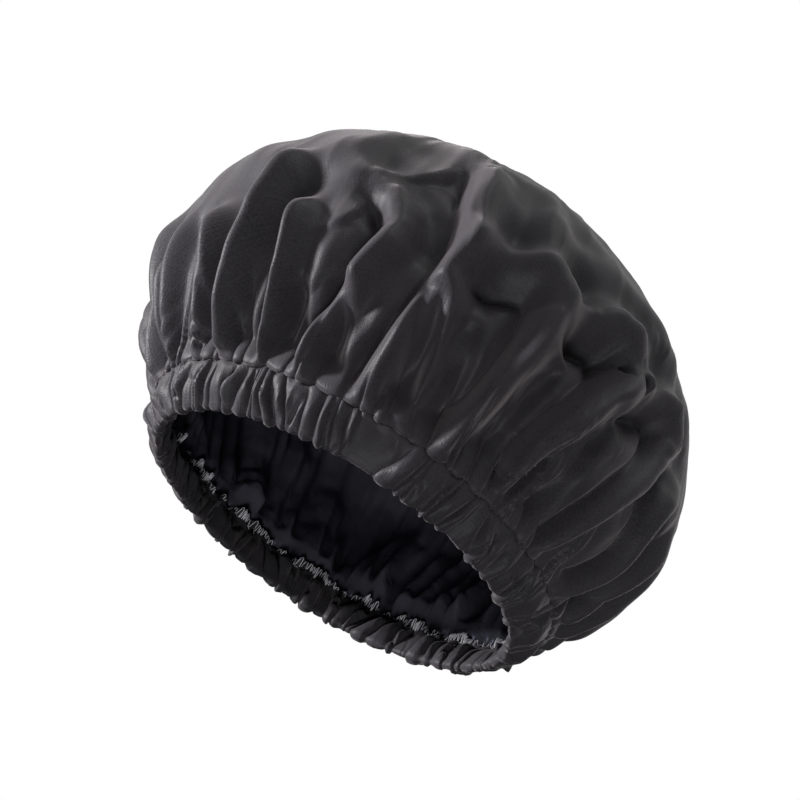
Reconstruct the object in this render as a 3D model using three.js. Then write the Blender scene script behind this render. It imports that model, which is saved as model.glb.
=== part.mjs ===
// A gathered shower cap. A pleated cloth crown has a waterproof film inside it. Round the rim
// a strip of the same cloth is folded over a flat elastic and overlocked to the crown.
// Millimetres, with +Z towards the crown and the origin at the middle of the rim that it rests on.

import * as THREE from 'three';

// Driving sizes of the rim and the crown, on the outer face of the cloth
const rimRadius = 91.5;
const seamRadius = 103.5;
const seamHeight = 20;
const crownRadius = 139;
const widestHeight = 84.5;
const capHeight = 197;

// The crown leans as the cloth hangs: this is how far its pole stands off the rim's middle
const poleLeanX = -15;
const poleLeanY = 12;

// The cloth, film and thread are thinner in the real cap, so these are stand-ins that keep them solid
const clothThickness = 0.8;
const filmThickness = 0.6;
const threadThickness = 0.6;
const clearance = 0.3;
const seamAllowance = 5;

// The elastic is one length whose ends overlap and are sewn together
const elasticWidth = 18;
const elasticThickness = 1.2;
const elasticOverlap = 10;
const elasticStep = 6;
const joinAngleShare = 0.735;

// Gathers stand all round the seam and the casing, and fade out up the crown
const gatherDepth = 3;
const gatherReach = 24;
const gatherReturn = 8;

// Main folds run up the crown from the seam
const foldDepth = 8;
const foldRise = 30;
const foldFade = 60;

// Each row is one fold: its ridge's place round the cap as a share of a turn from +X,
// its reach as a share of the way from the seam to the pole, and its share of the depth.
const foldShares = [
  [0.008, 0.38, 0.7],
  [0.053, 0.52, 0.9],
  [0.103, 0.36, 0.6],
  [0.153, 0.58, 1.0],
  [0.208, 0.40, 0.7],
  [0.264, 0.50, 0.8],
  [0.319, 0.34, 0.6],
  [0.383, 0.56, 1.0],
  [0.444, 0.42, 0.7],
  [0.506, 0.46, 0.7],
  [0.544, 0.40, 0.7],
  [0.581, 0.42, 0.5],
  [0.611, 0.56, 1.0],
  [0.642, 0.46, 0.8],
  [0.669, 0.48, 0.8],
  [0.694, 0.34, 0.5],
  [0.719, 0.62, 1.0],
  [0.750, 0.42, 0.7],
  [0.786, 0.52, 1.0],
  [0.825, 0.56, 0.9],
  [0.864, 0.42, 0.6],
  [0.900, 0.54, 1.0],
  [0.933, 0.42, 0.8],
  [0.967, 0.48, 0.7],
];

// The crown also swells and sinks in a few broad lobes
const lobeCount = 5;
const lobeDepth = 3;

// Rows of points up the crown: place from the seam to the pole, and how many columns one step takes
const rowShares = [0, 0.045, 0.12, 0.2, 0.29, 0.39, 0.5, 0.62, 0.75, 0.88];
const rowSteps = [1, 1, 2, 2, 2, 2, 2, 2, 2, 4];

// Shape of the crown's profile: its slope at the seam and how full its two curves are
const seamSlopeShare = 0.9;
const lowerFullnessShare = 0.4;
const upperFullnessShare = 0.5;

// Layers that lie on the side of a gather are closer there than along the radius by this share
const gatherSideShare = 0.75;
const layerGap = clearance / gatherSideShare;

const columnsPerFold = 4;
const columnCount = foldShares.length * columnsPerFold;
const fullTurn = 2 * Math.PI;

function smoothStep(value) {
  const inside = Math.min(Math.max(value, 0), 1);
  return inside * inside * (3 - 2 * inside);
}

function mix(from, to, share) {
  return from + (to - from) * share;
}

// A fold's ridge and valley have a column each, and a column stands halfway between them
function columnAngle(column) {
  const fold = Math.floor(column / columnsPerFold);
  const start = foldShares[fold % foldShares.length][0] + Math.floor(fold / foldShares.length);
  const next = fold + 1;
  const end = foldShares[next % foldShares.length][0] + Math.floor(next / foldShares.length);
  return fullTurn * mix(start, end, (column % columnsPerFold) / columnsPerFold);
}

// Gathers alternate out and in from column to column, and lie flat where the elastic is joined
function gatherShift(column) {
  const side = column % 2 === 0 ? 1 : -1;
  const turn = columnAngle(column % columnCount) / fullTurn - joinAngleShare;
  const away = Math.abs(turn - Math.round(turn)) * fullTurn * seamRadius;
  const flatHalf = elasticOverlap / 2 + elasticStep;
  return side * (gatherDepth / 2) * smoothStep((away - flatHalf) / gatherReturn);
}

// Gathers keep their depth as far as the second row of points, where the folds start
function gatherFade(arc) {
  return smoothStep((rowShares[1] * crownArc + gatherReach - arc) / gatherReach);
}

function foldHeight(fold, arc) {
  const [, reachShare, depthShare] = foldShares[fold % foldShares.length];
  const reach = reachShare * crownArc;
  const rise = smoothStep((arc - rowShares[1] * crownArc) / foldRise);
  const fall = smoothStep((reach + foldFade / 2 - arc) / foldFade);
  return (foldDepth / 2) * depthShare * rise * fall;
}

// Out on a ridge, in on the valley after it, and level between them
function foldShift(column, arc) {
  const fold = Math.floor(column / columnsPerFold);
  const phase = column % columnsPerFold;
  if (phase === 0) {
    return foldHeight(fold, arc);
  }
  if (phase === columnsPerFold / 2) {
    return -(foldHeight(fold, arc) + foldHeight(fold + 1, arc)) / 2;
  }
  return 0;
}

function lobeShift(angle, arc) {
  const upShare = arc / crownArc;
  return (lobeDepth / 2) * Math.cos(lobeCount * angle) * Math.sin(Math.PI * upShare) ** 2;
}

// The crown's profile as x = radius and y = height: out from the seam, then over to the pole
const seamPoint = new THREE.Vector2(seamRadius, seamHeight + layerGap);
const widestPoint = new THREE.Vector2(crownRadius, widestHeight);
const polePoint = new THREE.Vector2(0, capHeight);
const lowerRise = widestPoint.y - seamPoint.y;
const upperRise = polePoint.y - widestPoint.y;
const seamHandle = lowerFullnessShare * lowerRise;
const crownProfile = new THREE.CurvePath();
crownProfile.add(new THREE.CubicBezierCurve(
  seamPoint,
  new THREE.Vector2(seamPoint.x + seamHandle * seamSlopeShare, seamPoint.y + seamHandle),
  new THREE.Vector2(widestPoint.x, widestPoint.y - seamHandle),
  widestPoint,
));
crownProfile.add(new THREE.CubicBezierCurve(
  widestPoint,
  new THREE.Vector2(widestPoint.x, widestPoint.y + upperFullnessShare * upperRise),
  new THREE.Vector2(widestPoint.x * upperFullnessShare, polePoint.y),
  polePoint,
));
const crownArc = crownProfile.getLength();

// A point of the cylindrical frame, leant with the crown where it lies above the seam
function leantPoint(radius, angle, height) {
  const lean = Math.max(height - seamHeight, 0) / (capHeight - seamHeight);
  return new THREE.Vector3(
    radius * Math.cos(angle) + poleLeanX * lean,
    radius * Math.sin(angle) + poleLeanY * lean,
    height,
  );
}

// Where the ungathered profile of a layer lies, this deep under the outer cloth's face
function crownPlace(rowShare, depth) {
  const place = crownProfile.getPointAt(rowShare);
  const tangent = crownProfile.getTangentAt(rowShare);
  return new THREE.Vector2(place.x - depth * tangent.y, place.y + depth * tangent.x);
}

// A point of a crown layer, moved by the folds, the lobes and the gathers
function crownPoint(column, rowShare, depth) {
  const angle = columnAngle(column);
  const arc = rowShare * crownArc;
  const out = foldShift(column, arc) + lobeShift(angle, arc);
  const place = crownPlace(rowShare, depth - out);
  return leantPoint(place.x + gatherShift(column) * gatherFade(arc), angle, place.y);
}

function solidFrom(points, triangles) {
  const geometry = new THREE.BufferGeometry().setFromPoints(points);
  geometry.setIndex(triangles.flat());
  geometry.computeVertexNormals();
  return geometry;
}

// Joins two closed rows of points that run the same way round, the second as many or half as many
function joinRows(first, second) {
  const triangles = [];
  const step = first.length / second.length;
  for (let place = 0; place < second.length; place += 1) {
    const from = second[place];
    const to = second[(place + 1) % second.length];
    const low = first.slice(place * step, (place + 1) * step);
    const end = first[((place + 1) * step) % first.length];
    if (step === 1) {
      triangles.push([low[0], end, to], [low[0], to, from]);
    } else {
      triangles.push([low[0], low[1], from], [low[1], to, from], [low[1], end, to]);
    }
  }
  return triangles;
}

// A closed shell in the form of the crown, from its outer face's depth to its inner face's
function domeSolid(outerDepth, thickness) {
  const points = [];
  const faces = [outerDepth, outerDepth + thickness].map((depth) => {
    const rows = rowShares.map((rowShare, row) => {
      const indices = [];
      for (let column = 0; column < columnCount; column += rowSteps[row]) {
        indices.push(points.push(crownPoint(column, rowShare, depth)) - 1);
      }
      return indices;
    });
    const pole = points.push(leantPoint(0, 0, capHeight - depth)) - 1;
    const triangles = [];
    for (let row = 1; row < rows.length; row += 1) {
      triangles.push(...joinRows(rows[row - 1], rows[row]));
    }
    const top = rows[rows.length - 1];
    top.forEach((index, place) => triangles.push([index, top[(place + 1) % top.length], pole]));
    return { triangles, edge: rows[0] };
  });
  const [outer, inner] = faces;
  const turned = inner.triangles.map(([first, second, third]) => [first, third, second]);
  return solidFrom(points, [...outer.triangles, ...turned, ...joinRows(inner.edge, outer.edge)]);
}

// A closed body through a row of like sections, which is a ring if its ends meet
function loftSolid(sections, outline, isRing) {
  const size = outline.length;
  const triangles = [];
  const spans = isRing ? sections.length : sections.length - 1;
  for (let span = 0; span < spans; span += 1) {
    const here = span * size;
    const there = ((span + 1) % sections.length) * size;
    for (let side = 0; side < size; side += 1) {
      const next = (side + 1) % size;
      triangles.push([here + side, there + side, there + next]);
      triangles.push([here + side, there + next, here + next]);
    }
  }
  if (!isRing) {
    const last = (sections.length - 1) * size;
    for (const [first, second, third] of THREE.ShapeUtils.triangulateShape(outline, [])) {
      triangles.push([first, second, third], [last + first, last + third, last + second]);
    }
  }
  return solidFrom(sections.flat(), triangles);
}

// The casing's frame: along the slant from the rim to the seam, and out from the elastic's middle
const slant = new THREE.Vector2(seamRadius - rimRadius, seamHeight).normalize();
const slantOut = new THREE.Vector2(slant.y, -slant.x);
const tunnelHalf = elasticThickness / 2 + layerGap + gatherDepth / 2;
const casingHalf = tunnelHalf + clothThickness;
const joinedHalf = 1.5 * elasticThickness + clearance;
const elasticFoot = clothThickness + clearance + joinedHalf * slant.x;

// How far along the slant a face this far out reaches a height
function alongAt(height, out) {
  return (height - elasticFoot - out * slantOut.y) / slant.y;
}

const rimAlong = alongAt(0, casingHalf);
const seamAlong = alongAt(seamHeight, casingHalf);
const elasticFootRadius = rimRadius - rimAlong * slant.x - casingHalf * slantOut.x;

function casingPlace(along, out) {
  return new THREE.Vector2(
    elasticFootRadius + along * slant.x + out * slantOut.x,
    elasticFoot + along * slant.y + out * slantOut.y,
  );
}

// A point of the casing's frame, swung round to a column and moved by its gather
function casingPoint(column, place, shift) {
  const angle = columnAngle(column);
  return leantPoint(place.x + shift, angle, place.y);
}

// Between two columns the gathered cloth is straight, and what is sewn to it follows it
function gatheredPoint(column, place) {
  const before = Math.floor(column);
  const start = casingPoint(before, place, gatherShift(before));
  const end = casingPoint(before + 1, place, gatherShift(before + 1));
  return start.lerp(end, column - before);
}

// The inner ply runs from its turn over the elastic to its edge, which lies under the crown's layers
const plyTurn = elasticWidth + clearance;
const plyStart = casingPlace(plyTurn, -tunnelHalf);
const edgeDepth = clothThickness + filmThickness + threadThickness + 3 * layerGap;
const plyEdge = crownPlace(seamAllowance / crownArc, edgeDepth);
const plyRun = plyEdge.clone().sub(plyStart);
const plyOut = new THREE.Vector2(plyRun.y, -plyRun.x).normalize();

// A place on the inner ply: its share of the way to the edge, and how far out of its outer face
function plyPlace(share, out) {
  return plyStart.clone().addScaledVector(plyRun, share).addScaledVector(plyOut, out);
}

// The strip's section: up its outer ply, over the turned edge, and up the inner ply to its edge
const casingPuff = 1;
const casingOutline = [
  casingPlace(rimAlong, casingHalf),
  casingPlace(seamAlong / 2, casingHalf + casingPuff),
  casingPlace(seamAlong, casingHalf),
  casingPlace(seamAlong, casingHalf - edgeDepth + layerGap),
  casingPlace(plyTurn, tunnelHalf),
  casingPlace(alongAt(clothThickness, tunnelHalf), tunnelHalf),
  casingPlace(alongAt(clothThickness, -tunnelHalf), -tunnelHalf),
  plyStart,
  plyEdge,
  plyPlace(1, -clothThickness),
  plyPlace(0, -clothThickness),
  casingPlace(alongAt(0, -casingHalf), -casingHalf),
];

// The strip's two ends meet on a gather's ridge at the back, where this column stands
const stripEndFold = 5;
const stripEndColumn = stripEndFold * columnsPerFold;

function buildCasing() {
  const upAxis = new THREE.Vector3(0, 0, 1);
  const halfGapTurn = clearance / (2 * rimRadius);
  const sections = [];
  for (let place = 0; place <= columnCount; place += 1) {
    const column = stripEndColumn + place;
    sections.push(casingOutline.map((point) => casingPoint(column, point, gatherShift(column))));
  }
  sections[0].forEach((point) => point.applyAxisAngle(upAxis, halfGapTurn));
  sections[columnCount].forEach((point) => point.applyAxisAngle(upAxis, -halfGapTurn));
  return loftSolid(sections, casingOutline, false);
}

// The elastic runs once round and then steps out over its own end
function buildElastic() {
  const half = elasticThickness / 2;
  const outline = [
    new THREE.Vector2(half, 0),
    new THREE.Vector2(half, elasticWidth),
    new THREE.Vector2(-half, elasticWidth),
    new THREE.Vector2(-half, 0),
  ];
  const overlapTurn = elasticOverlap / seamRadius;
  const stepTurn = elasticStep / seamRadius;
  const joinAngle = joinAngleShare * fullTurn;
  const start = joinAngle - overlapTurn / 2;
  const end = start + fullTurn + overlapTurn;
  const stepStart = end - overlapTurn - stepTurn;
  const angles = [start, start + overlapTurn, stepStart, end - overlapTurn, end];
  for (let column = 0; column < 2 * columnCount; column += 1) {
    const angle = columnAngle(column);
    if (angle > start + overlapTurn && angle < stepStart) {
      angles.push(angle);
    }
  }
  angles.sort((first, second) => first - second);
  const sections = angles.map((angle) => {
    const stepShare = Math.min(Math.max((angle - stepStart) / stepTurn, 0), 1);
    const stepOut = stepShare * (elasticThickness + clearance);
    return outline.map((corner) => {
      const place = casingPlace(corner.y, corner.x + stepOut);
      return leantPoint(place.x, angle, place.y);
    });
  });
  return loftSolid(sections, outline, false);
}

// A thread's section is a diamond, drawn out along a zigzag's turns so that its legs stay as thick
function threadOutline(stretch) {
  const half = threadThickness / 2;
  return [
    new THREE.Vector2(half, 0),
    new THREE.Vector2(0, half * stretch),
    new THREE.Vector2(-half, 0),
    new THREE.Vector2(0, -half * stretch),
  ];
}

// The loopers swing over the allowance, and the needle's line runs along their lower turns
const threadOff = layerGap + threadThickness / 2;
const threadShare = threadThickness / plyRun.length();
const swingLowShare = 1 - seamAllowance / plyRun.length();
const swingHighShare = 1 - threadShare;
const needleShare = swingLowShare - 2 * threadShare;
const looperPointsPerColumn = 2;

// A thread that runs round the cap beside the inner ply, and swings between two places on it
function threadRing(pointCount, lowShare, highShare, out) {
  const swing = (highShare - lowShare) * plyRun.length();
  const stride = (fullTurn * seamRadius) / pointCount;
  const outline = threadOutline(Math.hypot(swing, stride) / stride);
  const sections = [];
  for (let step = 0; step < pointCount; step += 1) {
    const column = (step * columnCount) / pointCount;
    const share = step % 2 === 0 ? lowShare : highShare;
    sections.push(outline.map((corner) => {
      const place = plyPlace(share + corner.y / plyRun.length(), out + corner.x);
      return gatheredPoint(column, place);
    }));
  }
  return loftSolid(sections, outline, true);
}

function buildNeedleThread() {
  return threadRing(columnCount, needleShare, needleShare, -clothThickness - threadOff);
}

function buildLooperThread(out) {
  return threadRing(columnCount * looperPointsPerColumn, swingLowShare, swingHighShare, out);
}

// A run of zigzag stitches that climbs the casing's slant, with its turns to either side of a line
function climbingStitches({ from, to, out, halfWidth, stitchCount, pointAt }) {
  const rise = (to - from) / stitchCount;
  const outline = threadOutline(Math.hypot(2 * halfWidth, rise) / rise);
  const sections = [];
  for (let stitch = 0; stitch <= stitchCount; stitch += 1) {
    const side = stitch % 2 === 0 ? halfWidth : -halfWidth;
    const along = from + stitch * rise;
    sections.push(outline.map(
      (corner) => pointAt(side - corner.y, casingPlace(along, out + corner.x)),
    ));
  }
  return loftSolid(sections, outline, false);
}

// Across the elastic, on the side towards the head, where its two ends lie on each other
function buildElasticStitch() {
  const joinAngle = joinAngleShare * fullTurn;
  const margin = elasticWidth / 12;
  return climbingStitches({
    from: margin,
    to: elasticWidth - margin,
    out: -elasticThickness / 2 - layerGap - threadThickness / 2,
    halfWidth: elasticOverlap / 4,
    stitchCount: 8,
    pointAt: (sideways, place) => leantPoint(place.x, joinAngle + sideways / place.x, place.y),
  });
}

// Inside the tunnel, over the gap between the strip's two ends
function buildCasingStitch() {
  const ridgeAngle = columnAngle(stripEndColumn);
  const columnWidth = (columnAngle(stripEndColumn + 1) - ridgeAngle) * seamRadius;
  const margin = elasticWidth / 6;
  return climbingStitches({
    from: margin,
    to: elasticWidth - margin,
    out: tunnelHalf - layerGap - threadThickness / 2,
    halfWidth: clothThickness,
    stitchCount: 10,
    pointAt: (sideways, place) => gatheredPoint(stripEndColumn + sideways / columnWidth, place),
  });
}

function material(color, roughness) {
  return new THREE.MeshStandardMaterial({ color, roughness, metalness: 0 });
}

const blackCloth = material(0x2a292c, 0.55);
const blackFilm = material(0x121216, 0.4);
const blackElastic = material(0x1b1b1d, 0.85);
const blackThread = material(0x202022, 0.7);
const paleThread = material(0xb9b7b8, 0.7);

const cap = new THREE.Group();

function add(name, geometry, look) {
  const mesh = new THREE.Mesh(geometry, look);
  mesh.name = name;
  cap.add(mesh);
}

add('crown_shell', domeSolid(0, clothThickness), blackCloth);
add('lining', domeSolid(clothThickness + layerGap, filmThickness), blackFilm);
add('casing', buildCasing(), blackCloth);
add('elastic_band', buildElastic(), blackElastic);
add('elastic_join_stitch', buildElasticStitch(), blackThread);
add('casing_join_thread', buildCasingStitch(), blackThread);
add('overlock_needle_thread', buildNeedleThread(), paleThread);
add('overlock_upper_looper_thread', buildLooperThread(-clothThickness - threadOff), paleThread);
add('overlock_lower_looper_thread', buildLooperThread(threadOff), paleThread);

export default cap;
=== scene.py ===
import math

import bmesh
import bpy
import numpy as np
from mathutils import Matrix, Vector


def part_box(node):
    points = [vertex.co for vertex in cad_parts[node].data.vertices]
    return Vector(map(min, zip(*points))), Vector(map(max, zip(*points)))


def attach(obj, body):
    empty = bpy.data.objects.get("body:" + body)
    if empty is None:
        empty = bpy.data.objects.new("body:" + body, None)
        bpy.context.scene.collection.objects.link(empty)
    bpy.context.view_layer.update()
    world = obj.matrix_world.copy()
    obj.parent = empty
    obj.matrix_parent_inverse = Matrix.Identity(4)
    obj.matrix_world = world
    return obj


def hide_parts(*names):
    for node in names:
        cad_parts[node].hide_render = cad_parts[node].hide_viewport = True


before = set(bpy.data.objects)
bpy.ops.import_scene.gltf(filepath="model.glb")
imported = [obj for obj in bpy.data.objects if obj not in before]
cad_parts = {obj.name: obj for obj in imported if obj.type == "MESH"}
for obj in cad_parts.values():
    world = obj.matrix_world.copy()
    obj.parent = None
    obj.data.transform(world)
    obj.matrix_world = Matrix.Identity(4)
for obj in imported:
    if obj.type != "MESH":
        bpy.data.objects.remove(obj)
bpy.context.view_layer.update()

# A shower cap of gathered black cloth, lined with film, with an elastic rim. Sizes are in metres.
# Azimuths are in degrees from +X, and heights on the crown are measured along the cloth from its seam.
MM = 0.001
FULL_TURN = 2 * math.pi
RIM_RADIUS = 91.5 * MM
SEAM_RADIUS = 103.5 * MM
SEAM_HEIGHT = 20 * MM
WIDEST_RADIUS = 139 * MM
WIDEST_HEIGHT = 84.5 * MM
CROWN_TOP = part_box("crown_shell")[1][2]
LOWER_ROUNDNESS = 1.63
UPPER_ROUNDNESS = 1.86
LEAN_X_SHARE = -0.084
LEAN_Y_SHARE = 0.068

# What the seam and the casing hold: the layers' spacing, the cut edges above the seam, and the elastic.
LAYER = 0.35 * MM
ALLOWANCE = 5 * MM
ELASTIC_WIDTH = 18 * MM
ELASTIC_THICKNESS = 1.2 * MM
THREAD_RADIUS = 0.2 * MM

# Rows and columns of the sheets. The crown's rows lie a little closer at its seam than at its pole.
CROWN_COLUMNS = 960
CROWN_ROWS = 130
ROW_EASE = 1.12
CASING_COLUMNS = 1400
PLY_ROWS = 18
RIM_ROWS = 5
ALLOWANCE_ROWS = 4
ELASTIC_COLUMNS = 240
ELASTIC_ROWS = 8
MERGE_DISTANCE = 0.001 * MM

# The dome's side is a run of short steps: so many below its widest place, and so many above it.
LOWER_STEPS = 200
UPPER_STEPS = 260


def wrapped(angle):
    """The angle between minus half a turn and half a turn."""
    return (angle + math.pi) % FULL_TURN - math.pi


def eased(share):
    """From 0 to 1, flat at both ends."""
    share = np.clip(share, 0, 1)
    return share * share * (3 - 2 * share)


def wander(turns, waves):
    """An uneven shift round the cap, made of waves: the size of each, how many to a turn, and its start."""
    return sum(size * np.sin(count * turns + start) for size, count, start in waves)


def crown_profile():
    """The dome's side from the seam to the pole: length along it, radius and height."""
    low = np.linspace(0, math.pi / 2, LOWER_STEPS)
    top = np.linspace(0, math.pi / 2, UPPER_STEPS)[1:]
    swell = WIDEST_RADIUS - SEAM_RADIUS
    rise = WIDEST_HEIGHT - SEAM_HEIGHT
    crest = CROWN_TOP - WIDEST_HEIGHT
    low_radius = SEAM_RADIUS + swell * np.sin(low) ** (2 / LOWER_ROUNDNESS)
    low_height = WIDEST_HEIGHT - rise * np.cos(low) ** (2 / LOWER_ROUNDNESS)
    top_radius = WIDEST_RADIUS * np.cos(top) ** (2 / UPPER_ROUNDNESS)
    top_height = WIDEST_HEIGHT + crest * np.sin(top) ** (2 / UPPER_ROUNDNESS)
    radius = np.concatenate([low_radius, top_radius])
    height = np.concatenate([low_height, top_height])
    steps = np.hypot(np.diff(radius), np.diff(height))
    return np.concatenate([[0], np.cumsum(steps)]), radius, height


PROFILE_LENGTH, PROFILE_RADIUS, PROFILE_HEIGHT = crown_profile()
CROWN_REACH = PROFILE_LENGTH[-1]
CROWN_LENGTHS = CROWN_REACH * np.linspace(0, 1, CROWN_ROWS + 1) ** ROW_EASE
CROWN_TURNS = np.arange(CROWN_COLUMNS) / CROWN_COLUMNS * FULL_TURN

# The crown's folds, as lines of (azimuth, height in mm) from their heads down towards the seam.
# Overlaps are long folds whose one edge stands over the cloth beside it. The ridge lies on the outer
# side where a line bends, and towards larger azimuths below. Their numbers are, in millimetres, how
# deep the cloth beside the line tucks under, how far the ridge stands up, and how wide the ridge is.
OVERLAPS = [
    ([(166, 72), (169, 30), (170, 2)], 6, 4, 9),
    ([(178, 96), (181, 40), (180, 2)], 7, 4.5, 9),
    ([(188, 70), (187, 35), (188, 2)], 5, 4, 8),
    ([(193, 84), (195, 40), (195, 2)], 7, 4.5, 8),
    ([(204, 86), (207, 48), (208, 22), (206, 2)], 8, 5, 9),
    ([(217, 118), (219, 88), (218, 60), (217, 33), (217, 2)], 9, 6, 11),
    ([(225, 94), (229, 66), (230, 42), (229, 22), (229, 2)], 8, 5, 9),
    ([(237, 92), (240, 100), (244, 95), (247, 82), (245, 61), (243, 38), (240, 16), (239, 2)], 6.5, 4, 12),
    ([(248, 150), (253, 153), (256, 137), (260, 98), (260, 68), (258, 44), (256, 20), (255, 2)], 8, 5, 15),
    ([(261, 76), (267, 77), (273, 86), (280, 92), (280, 70), (279, 48), (278, 24), (276, 2)], 8, 5, 15),
    ([(284, 80), (291, 90), (301, 103), (299, 86), (296, 66), (293, 45), (292, 26), (295, 2)], 8, 5, 14),
    ([(297, 55), (299, 46), (300, 28), (298, 8)], 4, 4, 12),
    ([(304, 66), (312, 88), (320, 98), (319, 80), (315, 56), (312, 30), (311, 6)], 6, 3.5, 11),
    ([(331, 96), (327, 74), (328, 52), (331, 32), (329, 8)], 6, 3.5, 11),
    ([(342, 84), (341, 46), (345, 6)], 5, 3, 12),
    ([(353, 92), (354, 50), (356, 4)], 5, 3, 12),
]

# Pockets between the ridges near the seam, each with a round head: their depth and half their width.
POCKETS = [
    ([(235, 38), (236, 22), (237, 3)], 4.5, 7),
    ([(245, 46), (246, 28), (247, 6)], 5, 8),
    ([(263, 62), (264, 44), (265, 14)], 6, 7),
    ([(271, 54), (273, 36), (274, 12)], 4, 9),
    ([(289, 66), (287, 44), (287, 18)], 5, 10),
    ([(305, 72), (303, 46), (305, 14)], 4, 8),
    ([(337, 62), (338, 44), (341, 10)], 4, 8),
]

# Soft ridges and, below zero, soft hollows: how far they stand up and how far they reach to a side.
SOFT_RIDGES = [
    ([(233, 152), (229, 118), (222, 98), (220, 76)], 2.5, 11),
    ([(272, 165), (278, 122), (283, 92)], 3.5, 12),
    ([(286, 150), (292, 118), (298, 104)], -2.5, 14),
    ([(258, 140), (263, 106), (265, 82)], 2, 10),
    ([(240, 150), (244, 118)], -2, 16),
    ([(312, 140), (316, 112)], 2, 14),
]

# The side away from the camera has guessed folds, between these azimuths.
BACK_FOLDS = 12
BACK_FOLDS_FROM = 6
BACK_FOLDS_TO = 160
BACK_FOLDS_SEED = 11


def back_folds():
    """The folds of the side that the photograph doesn't show, of the same kind and as close."""
    pick = np.random.default_rng(BACK_FOLDS_SEED)
    folds = []
    for azimuth in np.linspace(BACK_FOLDS_FROM, BACK_FOLDS_TO, BACK_FOLDS):
        foot = azimuth + pick.uniform(-3, 3)
        head_height = pick.uniform(60, 120)
        swing = pick.uniform(-7, 7)
        tuck = pick.uniform(4, 7)
        ridge = pick.uniform(2.5, 4.5)
        width = pick.uniform(10, 15)
        head = (foot + swing, head_height)
        line = [head, (foot + 0.5 * swing, 0.6 * head_height), (foot, 0.3 * head_height), (foot, 2)]
        folds.append((line, tuck, ridge, width))
    return folds


# How a fold's corners are cut, and how much bolder all the folds are drawn than their tables say.
CORNER_SHARE = 0.2
FOLD_BOLDNESS = 1.5

# An overlap grows to its full height within this length of its head, and widens up to this height.
HEAD_LENGTH = 26 * MM
FULL_WIDTH_HEIGHT = 90 * MM
NARROWEST_SHARE = 0.55
WIDENING_SHARE = 0.75

# Its section: how far the tucked cloth slopes, how wide the round shoulder is, wider where the fold
# runs level, how round it is, how fast the cloth beyond it calms down, and how far its crest leans over.
TUCK_SLOPE_SHARE = 0.9
SHOULDER_SHARE = 0.6
LEVEL_SHOULDER_SHARE = 0.5
SHOULDER_ROUNDNESS = 2.2
CALMING = 0.8
OVERHANG_SHARE = 0.3
CREST_SHARE = 0.6
CREST_WIDTH_SHARE = 0.8

# A pocket's flat bottom, and its sloping side, as shares of half its width.
POCKET_FLOOR_SHARE = 0.3
POCKET_SIDE_SHARE = 0.9


def rounded(line):
    """A fold's line with its corners cut, its two ends kept."""
    points = np.array(line, float)
    first = points[:-1] * (1 - CORNER_SHARE) + points[1:] * CORNER_SHARE
    second = points[:-1] * CORNER_SHARE + points[1:] * (1 - CORNER_SHARE)
    between = np.stack([first, second], 1).reshape(-1, 2)
    return np.concatenate([points[:1], between, points[-1:]])


def beside(line, turns, lengths, radii):
    """For each point: how far it is beside a line, more than zero on its ridge's side, how far along
    the line, and how level the line runs there, from 0 for upright to 1."""
    line = rounded(line)
    azimuth = np.radians(line[:, 0])
    height = line[:, 1] * MM
    middle = azimuth.mean()
    across = wrapped(turns - middle) * radii
    nearest = np.full(turns.shape, np.inf)
    side = np.zeros(turns.shape)
    along = np.zeros(turns.shape)
    level = np.zeros(turns.shape)
    travelled = 0
    for k in range(len(line) - 1):
        start_x = (azimuth[k] - middle) * radii
        step_x = (azimuth[k + 1] - azimuth[k]) * radii
        step_y = height[k + 1] - height[k]
        length = np.hypot(step_x, step_y)
        share = ((across - start_x) * step_x + (lengths - height[k]) * step_y) / length**2
        share = np.clip(share, 0, 1)
        off_x = across - start_x - share * step_x
        off_y = lengths - height[k] - share * step_y
        off = np.hypot(off_x, off_y)
        closer = off < nearest
        turned = np.sign(step_x * off_y - step_y * off_x)
        nearest = np.where(closer, off, nearest)
        side = np.where(closer, turned * off, side)
        along = np.where(closer, travelled + share * length, along)
        level = np.where(closer, np.abs(step_x) / length, level)
        travelled = travelled + length
    return side, along, level


def overlap_height(side, tuck, ridge, width, wall):
    """An overlap's section: cloth that sinks to a crease, a round shoulder, a dip and a slow rise."""
    slope = -tuck * np.exp(np.minimum(side, 0) / (TUCK_SLOPE_SHARE * width))
    climb = -tuck + (tuck + ridge) * (1 - (1 - np.clip(side / wall, 0, 1)) ** SHOULDER_ROUNDNESS)
    past = np.maximum(side - wall, 0) / width
    fall = ridge * np.cos(math.pi * np.minimum(past, 2)) * np.exp(-CALMING * past)
    return np.where(side < 0, slope, np.where(side < wall, climb, fall))


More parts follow.
